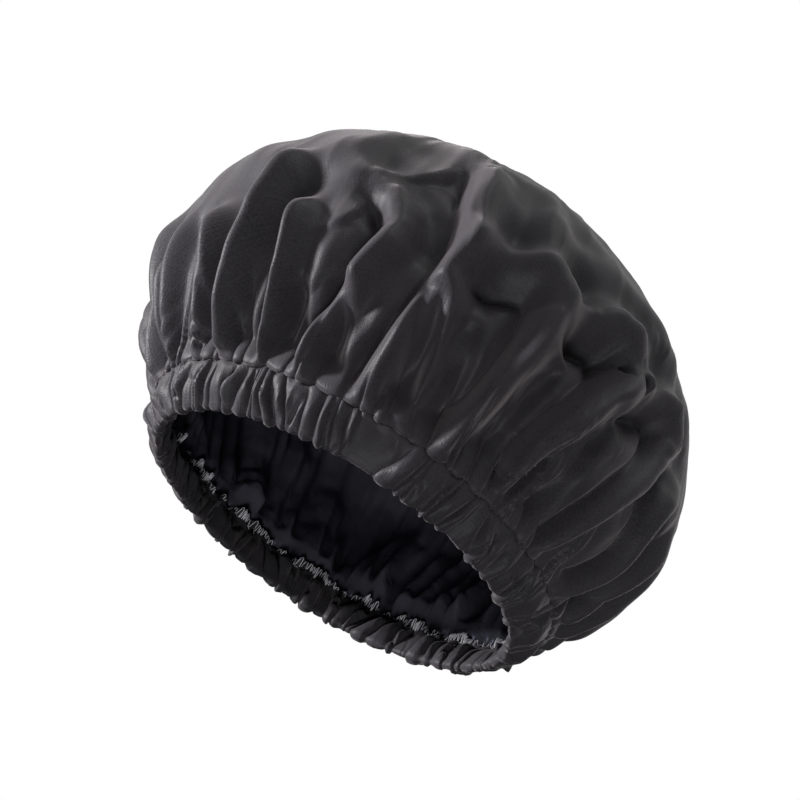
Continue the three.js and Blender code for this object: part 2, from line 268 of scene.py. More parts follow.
def crown_folds(turns, lengths, radii):
    """How far all the folds move the crown's cloth outwards, and how far sideways over its neighbour."""
    outwards = 0 * turns
    sideways = 0 * turns
    bold = FOLD_BOLDNESS * MM
    narrowing = NARROWEST_SHARE + WIDENING_SHARE * np.clip(lengths / FULL_WIDTH_HEIGHT, 0, 1)
    for line, tuck, ridge, width in OVERLAPS + back_folds():
        side, along, level = beside(line, turns, lengths, radii)
        strength = eased(along / HEAD_LENGTH)
        ridge_width = width * MM * narrowing
        wall = SHOULDER_SHARE * ridge_width * (1 + LEVEL_SHOULDER_SHARE * level)
        outwards += strength * overlap_height(side, tuck * bold, ridge * bold, ridge_width, wall)
        off_crest = (side - CREST_SHARE * wall) / (CREST_WIDTH_SHARE * wall)
        sideways -= strength * OVERHANG_SHARE * ridge * bold * np.exp(-off_crest**2)
    for line, depth, half_width in POCKETS:
        side, _, _ = beside(line, turns, lengths, radii)
        half = half_width * MM
        strength = 1 - eased((np.abs(side) - POCKET_FLOOR_SHARE * half) / (POCKET_SIDE_SHARE * half))
        outwards -= strength * depth * bold
    for line, ridge, reach in SOFT_RIDGES:
        side, _, _ = beside(line, turns, lengths, radii)
        outwards += ridge * bold * np.exp(-(side / (reach * MM)) ** 2)
    return outwards, sideways


def crinkles(turns, up, counts, slant, seed):
    """Sharp little ridges that run up the cloth, part and cross, from 0 to 1."""
    pick = np.random.default_rng(seed)
    ridges = 0 * turns
    for count in counts:
        phase = pick.uniform(0, FULL_TURN)
        slow_bend = 0.6 * np.sin(pick.integers(7, 19) * turns + phase)
        bend = slow_bend + 0.4 * np.sin(pick.integers(23, 41) * turns)
        patches = pick.integers(9, 29)
        patchy = 0.5 + 0.5 * np.sin(patches * turns + pick.uniform(1, 5) * up + phase)
        lean = pick.uniform(-slant, slant)
        ridges = ridges + patchy * (1 - np.abs(np.sin(count / 2 * turns + bend + lean * up)))
    return ridges / len(counts)


# Slack cloth waves: how many waves are added up, the length of cloth that their counts are for, what
# their sum mostly stays within, and their seed.
SLACK_WAVES = 14
SLACK_UNIT = 100 * MM
SLACK_SPREAD = 4
SLACK_SEED = 5


def slack_waves(turns, lengths):
    """Slow uneven waves of cloth that hangs a little slack, a few to a hand's width."""
    pick = np.random.default_rng(SLACK_SEED)
    waves = 0 * turns
    for _ in range(SLACK_WAVES):
        round_count = pick.integers(5, 17)
        up_count = pick.uniform(6, 26)
        waves += np.sin(round_count * turns + up_count * lengths / SLACK_UNIT + pick.uniform(0, FULL_TURN))
    return waves / SLACK_SPREAD


def uneven_edges(count, unevenness, seed):
    """Angles round the cap at which gathers meet, about evenly apart."""
    gaps = 1 + unevenness * (np.random.default_rng(seed).random(count) - 0.5)
    edges = np.concatenate([[0], np.cumsum(gaps)])
    return edges / edges[-1] * FULL_TURN


# The gathers and pleats that each part of the cap is drawn into: how many, how uneven, and their seed.
CROWN_GATHERS = uneven_edges(46, 1.1, 3)
CROWN_FEET = uneven_edges(92, 1.7, 33)
FILM_GATHERS = uneven_edges(64, 1.2, 51)
CASING_GATHERS = uneven_edges(70, 1.3, 22)
CASING_PLEATS = uneven_edges(98, 1.5, 21)
SLANTING_PLEATS = uneven_edges(57, 1.3, 23)
ALLOWANCE_GATHERS = uneven_edges(74, 1.2, 31)
ALLOWANCE_RIPPLES = uneven_edges(120, 1.0, 32)
UPRIGHT_STRETCHES = uneven_edges(23, 1.3, 61)

# How these wander as they run: the size of each wave in radians, how many to a turn, and its start.
CROWN_WANDER = [(0.03, 7, 0)]
FEET_WANDER = [(0.09, 7, 0), (0.05, 19, 1)]
FILM_WANDER = [(0.04, 5, 0)]
CASING_WANDER = [(0.07, 6, 1), (0.05, 17, 0)]
SLANTING_WANDER = [(0.16, 9, 2), (0.08, 23, 1)]
STITCH_WANDER = [(0.012, 23, 0), (0.006, 61, 1)]

# Fine creases: how many to a turn in each of three sets, how much they slant, and their seed.
SEAM_CREASES = ((83, 109, 137), 2, 41)
DRAWN_CREASES = ((19, 31, 47), 1.5, 61)
FILM_CREASES = ((31, 47, 71), 1.5, 52)
CASING_CREASES = ((117, 149, 191), 3, 43)

# How far a pleat's sides bulge over its creases, as a share of its width, and how full its tube is.
PLEAT_BULGE_SHARE = 0.17
PLEAT_FULLNESS = 0.8


def within(turns, edges):
    """Which gather each place is in, how wide that gather is, and how far across it the place lies."""
    turns = turns % FULL_TURN
    number = np.clip(np.searchsorted(edges, turns, side="right") - 1, 0, len(edges) - 2)
    width = edges[number + 1] - edges[number]
    return number, width, (turns - edges[number]) / width


def gathers(turns, edges):
    """1 on top of each gather and -1 where two meet."""
    _, _, share = within(turns, edges)
    return -np.cos(FULL_TURN * share)


def pleats(turns, edges):
    """0 in the creases between pleats and 1 on their tops, and how far round each tube's sides bulge."""
    number, width, share = within(turns, edges)
    # Each pleat has a height and a lean of its own, worked out from its number.
    strength = 0.68 + 0.32 * np.sin(2.4 * number + 1) * np.sin(0.7 * number)
    skew = 1.25 ** (2 * np.sin(1.9 * number + 0.5))
    tubes = strength * np.sin(math.pi * share**skew) ** PLEAT_FULLNESS
    return tubes, -PLEAT_BULGE_SHARE * width * np.sin(FULL_TURN * share)


# How far the gathers of the crown and of the casing pull the seam in and out, and up and down.
SEAM_PULL = 0.35 * MM
CASING_LIFT = 0.7 * MM
CROWN_DIP = 0.4 * MM


def seam_ring(turns):
    """Radius and height of the seam, which the gathers on its two sides pull out of a plain circle."""
    crown_side = gathers(turns + wander(turns, CROWN_WANDER), CROWN_GATHERS)
    casing_side = gathers(turns, CASING_GATHERS)
    radius = SEAM_RADIUS + SEAM_PULL * crown_side + SEAM_PULL * casing_side
    height = SEAM_HEIGHT + CASING_LIFT * casing_side - CROWN_DIP * crown_side
    return radius, height


def points_at(radius, turns, height):
    """Points at these radii, angles and heights."""
    return np.stack([radius * np.cos(turns), radius * np.sin(turns), height], -1)


def place_on_dome(lengths, turns, outwards):
    """Points at these lengths up the dome's side, moved outwards by so much, and which way is outwards."""
    radius = np.interp(lengths, PROFILE_LENGTH, PROFILE_RADIUS)
    height = np.interp(lengths, PROFILE_LENGTH, PROFILE_HEIGHT)
    lean = np.gradient(PROFILE_RADIUS, PROFILE_LENGTH)
    climb = np.gradient(PROFILE_HEIGHT, PROFILE_LENGTH)
    out_r = np.interp(lengths, PROFILE_LENGTH, climb)
    out_z = -np.interp(lengths, PROFILE_LENGTH, lean)
    place = points_at(radius + outwards * out_r, turns, height + outwards * out_z)
    return place, points_at(out_r, turns, out_z)


def smoothed(points):
    """The sheet with its sharpest creases eased, its first and last rows kept."""
    points = points.copy()
    middle = (np.roll(points, 1, 1) + np.roll(points, -1, 1) + points * 2) / 4
    middle[1:-1] = (middle[2:] + middle[:-2] + middle[1:-1] * 2) / 4
    points[1:-1] = middle[1:-1]
    return points


# The crown starts on the seam's line and moves off it within this length.
SEAM_HOLD = 3 * MM

# At the pole the radius goes down to nothing, so what is divided by it stops at these.
LEAST_RADIUS = 0.1 * MM
LEAST_SWING_RADIUS = 20 * MM

# Small gathers and sharp creases at the seam: how high they are and how fast they fade up the cloth.
GATHER_HEIGHT = 0.8 * MM
GATHER_FADE = 14 * MM
CREASE_HEIGHT = 1.2 * MM
CREASE_FADE = 16 * MM
CREASE_LENGTH = 30 * MM

# Long creases drawn from the seam towards the pole: they rise over the first length of cloth, fade over
# a longer one and end short of the pole.
DRAWN_HEIGHT = 2.4 * MM
DRAWN_LENGTH = 70 * MM
DRAWN_START = 30 * MM
DRAWN_END = 30 * MM
DRAWN_END_FADE = 110 * MM

# The waves of slack cloth: how high they are, and how far from the pole they start to fade.
SLACK_HEIGHT = 0.5 * MM
SLACK_END_FADE = 60 * MM


def gathered_crown():
    """The crown's round of cloth, gathered on the seam and filled with air, and the lining inside it."""
    lengths, turns = np.meshgrid(CROWN_LENGTHS, CROWN_TURNS, indexing="ij")
    radii = np.interp(lengths, PROFILE_LENGTH, PROFILE_RADIUS)
    flat_radius = CROWN_REACH - lengths
    surplus = np.sqrt(np.maximum(flat_radius / np.maximum(radii, LEAST_RADIUS), 1) ** 2 - 1)
    small_gathers = gathers(turns + wander(turns, CROWN_WANDER), CROWN_GATHERS)
    from_seam = 1 - np.exp(-lengths / SEAM_HOLD)
    outwards = GATHER_HEIGHT * surplus * small_gathers * np.exp(-lengths / GATHER_FADE) * from_seam
    folded, sideways = crown_folds(turns, lengths, radii)
    outwards += folded * from_seam
    fine = crinkles(turns, lengths / CREASE_LENGTH, *SEAM_CREASES)
    outwards += CREASE_HEIGHT * fine * np.exp(-lengths / CREASE_FADE) * from_seam
    drawn = crinkles(turns, lengths / DRAWN_LENGTH, *DRAWN_CREASES)
    off_pole = eased((flat_radius - DRAWN_END) / DRAWN_END_FADE)
    outwards += DRAWN_HEIGHT * drawn * eased(lengths / DRAWN_START) * off_pole
    near_pole = eased(flat_radius / SLACK_END_FADE)
    outwards += SLACK_HEIGHT * slack_waves(turns, lengths) * from_seam * near_pole
    feet, feet_bulge = crown_feet(lengths, turns)
    turns = turns + sideways * from_seam / np.maximum(radii, LEAST_SWING_RADIUS) + feet_bulge
    points, _ = place_on_dome(lengths, turns, outwards)
    dome, outward = place_on_dome(lengths, turns, 0 * lengths)
    seam_radius, seam_height = seam_ring(CROWN_TURNS)
    points[0] = points_at(seam_radius, CROWN_TURNS, seam_height)
    points[-1] = points[-1].mean(0)
    points = fitted(smoothed(points), dome, outward, feet)
    return points, lining_under(points, dome, outward)


# The crown's feet are the small tubes that its cloth is drawn into at the seam: how far they swell and
# how fast they fade, how deep the creases between them are, and how far up those run at least and at most.
FOOT_SWELL = 5 * MM
FOOT_FADE = 12 * MM
FOOT_START = 0.9 * MM
FOOT_DEPTH = 8 * MM
FOOT_CREASE_START = 6 * MM
FOOT_REACH_LEAST = 8 * MM
FOOT_REACH_MORE = 40 * MM
FOOT_LEAN_LENGTH = 40 * MM
FEET_END = 90 * MM
FEET_END_FADE = 50 * MM


def crown_feet(lengths, turns):
    """How far out the feet and the creases between them lie, and how far round the feet's sides bulge."""
    lean = wander(turns, FEET_WANDER) * lengths / FOOT_LEAN_LENGTH
    tubes, bulge = pleats(turns + lean, CROWN_FEET)
    some_longer = eased(0.4 + 0.6 * np.sin(11 * turns + 1) * np.sin(5 * turns))
    reach = FOOT_REACH_LEAST + FOOT_REACH_MORE * some_longer
    fade = np.exp(-lengths / FOOT_FADE)
    swell = FOOT_SWELL * tubes * fade * (1 - np.exp(-lengths / FOOT_START))
    low = eased((FEET_END - lengths) / FEET_END_FADE)
    creases = FOOT_DEPTH * (1 - tubes) * np.exp(-lengths / reach) * eased(lengths / FOOT_CREASE_START) * low
    return swell - creases, bulge * fade * (1 - np.exp(-lengths / MM))


# The crown is brought back to the dome by an envelope over its ridges. The envelope takes the highest
# place within so many columns, is smoothed over these columns and rows, and is level round the pole.
RIDGE_PROUD = 1.8 * MM
RELIEF_START = 10 * MM
ENVELOPE_COLUMNS = 60
SMOOTH_COLUMNS = 40
SMOOTH_ROWS = 4
SMOOTH_ROUNDS = 3
POLE_ROWS = 8


def fitted(points, dome, outward, feet):
    """The crown brought back to the dome, its ridges just proud of it, and its feet added at the seam."""
    proud = ((points - dome) * outward).sum(-1)
    envelope = proud.copy()
    for shift in range(1, ENVELOPE_COLUMNS + 1):
        envelope = np.maximum(envelope, np.maximum(np.roll(proud, shift, 1), np.roll(proud, -shift, 1)))
    envelope[-POLE_ROWS:] = envelope[-POLE_ROWS:].mean(1, keepdims=True)
    shifts = range(-SMOOTH_COLUMNS, SMOOTH_COLUMNS + 1)
    for _ in range(SMOOTH_ROUNDS):
        envelope = np.mean([np.roll(envelope, shift, 1) for shift in shifts], axis=0)
        padded = np.pad(envelope, ((SMOOTH_ROWS, SMOOTH_ROWS), (0, 0)), mode="edge")
        envelope = np.mean([padded[k:k + len(envelope)] for k in range(2 * SMOOTH_ROWS + 1)], axis=0)
    off_seam = eased(CROWN_LENGTHS[:, None] / RELIEF_START)
    level = (proud + RIDGE_PROUD - envelope) * off_seam + feet
    moved = points + outward * (level - proud)[..., None]
    moved[0] = points[0]
    return moved


# The film lies this far inside the deepest cloth near it, and has gathers and long creases of its own.
# Those are guessed, and as high as they need to be for its area to come over 0.7 of its flat cut's.
LINING_GAP = 1.2 * MM
LINING_SHIFTS = (1, 2, 2)
LINING_START = 14 * MM
FILM_GATHER_HEIGHT = 6.5 * MM
FILM_GATHER_FADE = 80 * MM
FILM_CREASE_HEIGHT = 7 * MM
FILM_CREASE_LENGTH = 40 * MM
FILM_CREASE_END_FADE = 80 * MM


def lining_under(points, dome, outward):
    """The lining follows the crown's folds loosely, and stays inside the deepest cloth near each place."""
    proud = ((points - dome) * outward).sum(-1)
    for _ in range(2):
        beyond = np.pad(proud, ((1, 1), (0, 0)), mode="edge")
        proud = np.minimum(np.minimum(beyond[:-2], beyond[2:]), proud)
        for shift in LINING_SHIFTS:
            proud = np.minimum(proud, np.minimum(np.roll(proud, shift, 1), np.roll(proud, -shift, 1)))
    lengths, turns = np.meshgrid(CROWN_LENGTHS, CROWN_TURNS, indexing="ij")
    off_seam = 1 - np.exp(-((lengths / LINING_START) ** 2))
    own = 0.5 + 0.5 * gathers(turns + wander(turns, FILM_WANDER), FILM_GATHERS)
    own = own * FILM_GATHER_HEIGHT * np.exp(-lengths / FILM_GATHER_FADE)
    creases = crinkles(turns, lengths / FILM_CREASE_LENGTH, *FILM_CREASES)
    own += FILM_CREASE_HEIGHT * creases * eased((CROWN_REACH - lengths) / FILM_CREASE_END_FADE)
    lining = dome + outward * (proud - LINING_GAP - own * off_seam)[..., None]
    lining[-1] = lining[-1].mean(0)
    return smoothed(lining)


def leant(points):
    """The points above the seam, moved over as the cap leans."""
    above = np.maximum(points[..., 2] - SEAM_HEIGHT, 0)
    moved = points.copy()
    moved[..., 0] += LEAN_X_SHARE * above
    moved[..., 1] += LEAN_Y_SHARE * above
    return moved


# The casing slants from the rim to the seam, and its turned edge lies RIM_LIFT up that slant. At the seam
# its inner ply lies further in by the layers sewn between, and comes back within a share of its depth.
# Its cloth is longer than the slant by PLY_SLACK, because it stands open round the elastic.
CASING_SLANT = math.hypot(SEAM_RADIUS - RIM_RADIUS, SEAM_HEIGHT)
PLY_OUT = ELASTIC_THICKNESS / 2 + LAYER
PLY_SLACK = 1.12
SEAM_STACK = 1.5 * MM
STACK_SHARE = 0.2
RIM_LIFT = 2.4 * MM

# How much longer the casing's strip is than the ring it is gathered on, which is assumed like PLY_SLACK,
# and its unpleated patch: where it is, how wide, how much of it is quite flat, how soon the pleats then
# rise, and how far it puffs out.
CASING_FULLNESS = 1.6
FLAT_PATCH_AZIMUTH = 264.6
FLAT_PATCH_HALF_ANGLE = 5.5
PATCH_FLAT_SHARE = 0.6
PATCH_EDGE_SHARE = 0.5
PATCH_PUFF = 1.2 * MM

# Its pleats: how high and how sharp they are, and how high the creases on them. Of that height a share is
# left at the seam, where they are pressed flat at once, and a share of the rest at the rim. The casing
# follows the seam's waves above a share of its depth.
PLEAT_HEIGHT = 7.5 * MM
PLEAT_SHARPNESS = 1.5
CASING_CREASE_HEIGHT = 1.5 * MM
SEAM_PUFF_SHARE = 0.12
RIM_PUFF_SHARE = 0.3
SEAM_PRESS = 12
BULGE_START_SHARE = 0.125
SEAM_WAVES_SHARE = 0.4

# Slanting creases cut the pleats down to this height at least, and by so much less where they fade.
PARTED_LEAST_SHARE = 0.15
PARTED_MORE_SHARE = 0.9


def casing_place(out, up):
    """Radius and height of a place in the casing: out from the elastic's middle, up along its slant."""
    lean_r = (SEAM_RADIUS - RIM_RADIUS) / CASING_SLANT
    lean_z = SEAM_HEIGHT / CASING_SLANT
    return RIM_RADIUS + lean_r * up + lean_z * out, lean_z * up - lean_r * out


def casing_section():
    """The casing's section from the seam down its outer face, round the rim and up to the seam again."""
    ply_out = [PLY_OUT if k else 0 for k in range(PLY_ROWS)]
    ply_up = []
    for k in range(PLY_ROWS):
        share = k / PLY_ROWS
        ply_up.append(CASING_SLANT * (1 - share) + (RIM_LIFT + PLY_OUT) * share)
    rim_angles = [math.pi * (k + 0.5) / RIM_ROWS for k in range(RIM_ROWS)]
    rim_out = [PLY_OUT * math.cos(angle) for angle in rim_angles]
    rim_up = [RIM_LIFT + PLY_OUT * (1 - math.sin(angle)) for angle in rim_angles]
    stacks = [max(0, 1 - k / (STACK_SHARE * PLY_ROWS)) for k in range(PLY_ROWS)]
    inner_out = [-out - SEAM_STACK * stack for out, stack in zip(ply_out, stacks)]
    return np.array(ply_out + rim_out + inner_out[::-1]), np.array(ply_up + rim_up + ply_up[::-1])


def casing_pleats(turns, up_share):
    """Uneven pleats that lean, and that slanting creases part in places between the seam and the rim."""
    from_middle = up_share - 0.5
    tubes, bulge = pleats(turns + wander(turns, CASING_WANDER) * from_middle, CASING_PLEATS)
    slanting, _ = pleats(turns + wander(turns, SLANTING_WANDER) * from_middle, SLANTING_PLEATS)
    parted = eased(0.5 + 0.9 * np.sin(14 * turns + 3 * up_share) * np.sin(5 * turns + 1 - 4 * up_share))
    other = slanting + PARTED_LEAST_SHARE + PARTED_MORE_SHARE * parted
    return np.minimum(tubes, other) ** PLEAT_SHARPNESS, 0.5 * bulge * eased(other - tubes + 0.6)


def gathered_casing(turns):
    """The strip folded over the elastic and gathered on it, its pleats standing open as round tubes."""
    out, up = casing_section()
    up_share = (up / CASING_SLANT)[:, None]
    off_patch = np.abs(wrapped(turns - math.radians(FLAT_PATCH_AZIMUTH)))
    patch = off_patch / math.radians(FLAT_PATCH_HALF_ANGLE)
    gathered = eased((patch - PATCH_FLAT_SHARE) / PATCH_EDGE_SHARE)
    along_out, along_up = np.gradient(out), np.gradient(up)
    square_out = -along_up / np.hypot(along_out, along_up)
    square_up = along_out / np.hypot(along_out, along_up)
    ends = np.abs(np.linspace(-1, 1, len(out)))[:, None]
    off_rim = RIM_PUFF_SHARE + (1 - RIM_PUFF_SHARE) * np.sin(math.pi * ends) ** 2
    from_ends = (1 - ends**SEAM_PRESS) * off_rim
    tubes, bulge = casing_pleats(turns[None], up_share)
    fine = crinkles(turns[None], up_share, *CASING_CREASES)
    pleated = PLEAT_HEIGHT * tubes + CASING_CREASE_HEIGHT * fine - PATCH_PUFF
    puff = (PATCH_PUFF + pleated * gathered) * (SEAM_PUFF_SHARE + (1 - SEAM_PUFF_SHARE) * from_ends)
    place_out = out[:, None] + puff * square_out[:, None]
    place_up = up[:, None] + puff * square_up[:, None]
    radius, height = casing_place(place_out, place_up)
    seam_radius, seam_height = seam_ring(turns)
    at_seam = eased((up_share - SEAM_WAVES_SHARE) / (1 - SEAM_WAVES_SHARE))
    radius = radius + at_seam * (seam_radius - SEAM_RADIUS)
    height = height + at_seam * (seam_height - SEAM_HEIGHT)
    swung = turns + bulge * gathered * eased((1 - ends) / BULGE_START_SHARE)
    return points_at(radius, swung, height)


# The cut edges above the seam wave in and out and up and down, lean inwards, and lie over in stretches.
EDGE_WAVE = 1.1 * MM
EDGE_LEAN = 1.2 * MM
EDGE_RISE = 0.6 * MM
LYING_SHARE = 0.35


def allowance_place(turns, above, inwards):
    """A place on the seam's allowance, which stands up inside the cap in the waves of its gathers."""
    share = above / ALLOWANCE
    wave = gathers(turns, ALLOWANCE_GATHERS) + 0.5 * gathers(turns, ALLOWANCE_RIPPLES)
    upright = eased(0.55 + 0.75 * gathers(turns, UPRIGHT_STRETCHES))
    seam_radius, seam_height = seam_ring(turns)
    closing = 1 - 0.5 * share * (1 - upright)
    radius = seam_radius - inwards * closing + share * (EDGE_WAVE * wave - EDGE_LEAN)
    rise = above * (LYING_SHARE + (1 - LYING_SHARE) * upright)
    return points_at(radius, turns, seam_height + rise - share * EDGE_RISE * wave)


def allowance(turns, inwards, first_inwards):
    """The rows of one layer's allowance, from its cut edge down to just above the seam."""
    rows = []
    for k in range(ALLOWANCE_ROWS):
        above = ALLOWANCE * (1 - k / ALLOWANCE_ROWS)
        closing = (k / ALLOWANCE_ROWS) ** 3
        rows.append(allowance_place(turns, above, inwards + closing * (first_inwards - inwards)))
    return np.stack(rows)


# The elastic is drawn thinner by this on each face, so that it clears the casing, and lies this far up
# from the casing's turned edge.
ELASTIC_PLAY = 0.1 * MM
ELASTIC_LIFT = 0.3 * MM


def elastic_points():
    """The elastic's flat section, closed on its first place, and carried round between the casing's plies."""
    half = ELASTIC_THICKNESS / 2 - ELASTIC_PLAY
    low = RIM_LIFT + PLY_OUT + ELASTIC_LIFT
    high = low + ELASTIC_WIDTH
    step = ELASTIC_WIDTH / ELASTIC_ROWS
    outer_side = [(half, low + step * k) for k in range(ELASTIC_ROWS)]
    inner_side = [(-half, high - step * k) for k in range(ELASTIC_ROWS + 1)]
    section = np.array([(-half, low), *outer_side, (half, high), *inner_side])[::-1]
    turns = np.arange(ELASTIC_COLUMNS) / ELASTIC_COLUMNS * FULL_TURN
    radius, height = casing_place(section[:, 0], section[:, 1])
    return points_at(radius[:, None], turns, height[:, None] + 0 * turns)


def cloth_piece(name, points, flat_place, column_step):
    """A sheet of cloth that goes right round the cap, from its rows and columns of points."""
    rows, columns = points.shape[:2]
    bm = bmesh.new()
    uv = bm.loops.layers.uv.new("UVMap")
    bmesh.ops.create_grid(bm, x_segments=columns, y_segments=rows - 1, size=0.5, calc_uvs=True)
    steps = [column_step(row / (rows - 1)) for row in range(rows)]
    for vert in bm.verts:
        row = round((vert.co.y + 0.5) * (rows - 1))
        column = round((vert.co.x + 0.5) * columns) // steps[row] * steps[row]
        vert.co = points[row, column % columns]
    for face in bm.faces:
        face.smooth = True
        for loop in face.loops:
            across, up = loop[uv].uv
            step = steps[round(up * (rows - 1))]
            column = round(across * columns) // step * step
            loop[uv].uv = flat_place(column / columns, up)
    bmesh.ops.remove_doubles(bm, verts=bm.verts, dist=MERGE_DISTANCE)
    mesh = bpy.data.meshes.new(name)
    bm.to_mesh(mesh)
    bm.free()
    piece = bpy.data.objects.new(name, mesh)
    bpy.context.collection.objects.link(piece)
    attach(piece, "root")
    return piece


def crown_flat_radius(up):
    """How far from the middle of the round a share of its rows is, counted from its cut edge."""
    row = up * (CROWN_ROWS + ALLOWANCE_ROWS) - ALLOWANCE_ROWS
    if row < 0:
        return CROWN_REACH - ALLOWANCE * row / ALLOWANCE_ROWS
    return CROWN_REACH * (1 - (row / CROWN_ROWS) ** ROW_EASE)


def crown_flat_place(across, up):
    """Where a point of the round of cloth lay when it was flat, from its shares of the grid."""
    radius = crown_flat_radius(up)
    return radius * math.cos(across * FULL_TURN), radius * math.sin(across * FULL_TURN)


def crown_column_step(up):
    """Towards the pole the round of cloth needs fewer columns: one in 2, 4, 8 and 16."""
    share = min(1, max(crown_flat_radius(up) / CROWN_REACH, 0.01))
    return 2 ** min(4, int(math.log2(1 / share)))


def casing_flat_place(across, up):
    """Where a point of the casing's strip lay when it was flat."""
    length = FULL_TURN * (RIM_RADIUS + SEAM_RADIUS) / 2 * CASING_FULLNESS
    return across * length, up * 2 * (CASING_SLANT * PLY_SLACK + ALLOWANCE)


def every_column(up):
    """A strip keeps all its columns from edge to edge."""
    return 1


def thread_piece(name, paths, material, node):
    """One thread of the seam: it lies along each of these paths, and is one mesh."""
    data = bpy.data.curves.new(name, "CURVE")
    data.dimensions = "3D"
    data.bevel_depth = THREAD_RADIUS
    data.bevel_resolution = 1
    data.resolution_u = 2
    for path in paths:
        spline = data.splines.new("NURBS")
        spline.points.add(len(path) - 1)
        for point, place in zip(spline.points, path):
            point.co = (*place, 1)
        spline.use_endpoint_u = True
        spline.order_u = 3
    drawn = bpy.data.objects.new(name + "_line", data)
    bpy.context.collection.objects.link(drawn)
    mesh = bpy.data.meshes.new_from_object(drawn)
    mesh.name = name
    bpy.data.objects.remove(drawn)
    bpy.data.curves.remove(data)
    piece = bpy.data.objects.new(name, mesh)
    bpy.context.collection.objects.link(piece)
    mesh.materials.clear()
    mesh.materials.append(material)
    for face in mesh.polygons:
        face.use_smooth = True
    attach(piece, "root")
    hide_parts(node)


# The overlock's stitches: how far inwards of the seam's line its two faces lie, and how high above that
# line its threads start, turn and go over the cut edge.
STITCHES = 300
INSIDE_FACE = SEAM_STACK + LAYER + 0.3 * MM
FILM_FACE = SEAM_STACK - 3 * LAYER - 0.3 * MM
NEEDLE_PROUD = 0.15 * MM
NEEDLE_SHARES = (0.06, 0.2, 0.5, 0.8, 0.94)
STITCH_FOOT = 0.3 * MM
STITCH_KNEE = 1.6 * MM
UNDER_EDGE = ALLOWANCE - 0.4 * MM
OVER_EDGE = ALLOWANCE + 0.35 * MM
EDGE_CROWN = OVER_EDGE + 0.1 * MM


def stitch_turn(number):
    """Where a stitch falls round the seam: the gathers crowd some together and spread others."""
    turn = number / STITCHES * FULL_TURN
    return turn + wander(turn, STITCH_WANDER)


def on_allowance(turn, above, inwards):
    """One place on the allowance, as a plain point."""
    return tuple(float(x) for x in allowance_place(np.array([turn]), above, inwards)[0])


def needle_paths():
    """The straight stitches along the seam's line, each sunk into the cloth at its two ends."""
    depths = (SEAM_STACK, INSIDE_FACE, INSIDE_FACE + NEEDLE_PROUD, INSIDE_FACE, SEAM_STACK)
    paths = []
    for k in range(STITCHES):
        start = stitch_turn(k)
        span = stitch_turn(k + 1) - start
        stitch = zip(NEEDLE_SHARES, depths)
        paths.append([on_allowance(start + span * share, STITCH_FOOT, depth) for share, depth in stitch])
    return paths


def looper_paths(face, behind):
    """Loops from the seam's line up one face of the allowance, over its edge and down again."""
    middle = (face + behind) / 2
    foot = max(face, SEAM_STACK - LAYER)
    route = [
        (0.0, STITCH_FOOT, foot),
        (0.06, STITCH_KNEE, face),
        (0.16, UNDER_EDGE, face),
        (0.24, OVER_EDGE, middle),
        (0.36, EDGE_CROWN, middle),
        (0.5, OVER_EDGE, middle),
        (0.6, UNDER_EDGE, face),
        (0.74, STITCH_KNEE, face),
        (0.9, STITCH_FOOT, foot),
        (1.0, STITCH_FOOT, foot),
    ]
    paths = []
    for k in range(STITCHES):
        start = stitch_turn(k)
        span = stitch_turn(k + 1) - start
        paths.append([on_allowance(start + span * share, above, inwards) for share, above, inwards in route])
    return paths


# Noise mostly lies in this range, and what it varies goes from its least to its most over it.
NOISE_RANGE = {"From Min": 0.3, "From Max": 0.7}

# The Mix node's sockets for a colour, by number, because its sockets for other kinds share their names.
MIX_FACTOR, MIX_LOW, MIX_HIGH, MIX_RESULT = 0, 6, 7, 2


def linear(hex_colour):
    """A colour written as in a paint program, as the light that it stands for."""
    parts = [int(hex_colour[k:k + 2], 16) / 255 for k in (1, 3, 5)]
    return tuple(p / 12.92 if p <= 0.04045 else ((p + 0.055) / 1.055) ** 2.4 for p in parts) + (1,)


def new_material(name):
    """A new material, with its tree and its shader."""
    material = bpy.data.materials.new(name)
    material.use_nodes = True
    tree = material.node_tree
    return material, tree, tree.nodes["Principled BSDF"]


def add_node(tree, kind, inputs=(), **settings):
    """One node, with its plain settings, and its inputs by name or number: a value or a socket each."""
    node = tree.nodes.new(kind)
    for key, value in settings.items():
        setattr(node, key, value)
    for key, value in dict(inputs).items():
        if isinstance(value, bpy.types.NodeSocket):
            tree.links.new(value, node.inputs[key])
        else:
            node.inputs[key].default_value = value
    return node


